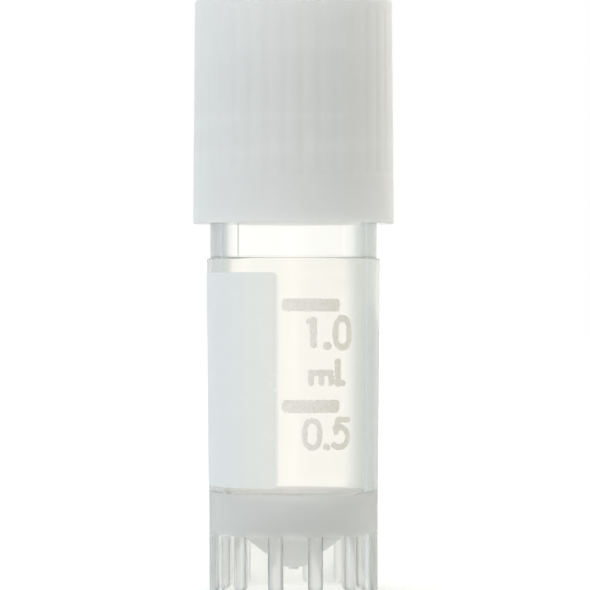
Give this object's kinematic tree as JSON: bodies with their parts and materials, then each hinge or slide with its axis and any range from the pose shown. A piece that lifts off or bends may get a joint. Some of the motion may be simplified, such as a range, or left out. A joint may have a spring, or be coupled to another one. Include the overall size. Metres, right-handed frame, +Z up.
{
  "type": "cryovial",
  "caption": "Small self-standing cryogenic vial with an outside screw thread, conical floor, ribbed skirt and translucent screw cap over a flat sealing ring.",
  "frame": {"origin": "middle of the foot, on the surface that the vial stands on", "axes": "+Z up along the vial's axis, -Y towards the printed front, +X to the right of someone facing the front"},
  "size_m": [0.0134, 0.0134, 0.0398],
  "materials": {
    "clear_polypropylene": "clear moulded plastic, smooth and slightly hazy",
    "natural_polypropylene": "natural translucent moulded plastic, satin",
    "silicone": "translucent silicone rubber, matt",
    "white_ink": "matt white writing ink",
    "graduation_ink": "pale warm grey printing ink"
  },
  "bodies": {
    "vial": {"tube": "clear_polypropylene", "writing_panel": "white_ink", "graduation_bars": "graduation_ink"},
    "seal": {"gasket": "silicone"},
    "closure": {"cap": "natural_polypropylene"}
  },
  "joints": [
    {"name": "cap_lift", "type": "slide", "parent": "vial", "child": "seal", "axis": [0, 0, 1], "range_m": [0, 0.01125]},
    {"name": "cap_turn", "type": "hinge", "parent": "seal", "child": "closure", "pos_m": [0, 0, 0.03], "axis": [0, 0, 1], "range_deg": [0, 1800]}
  ],
  "couplings": [
    {"joint": "cap_turn", "follows": "cap_lift", "rad_per_m": 2792.5}
  ]
}
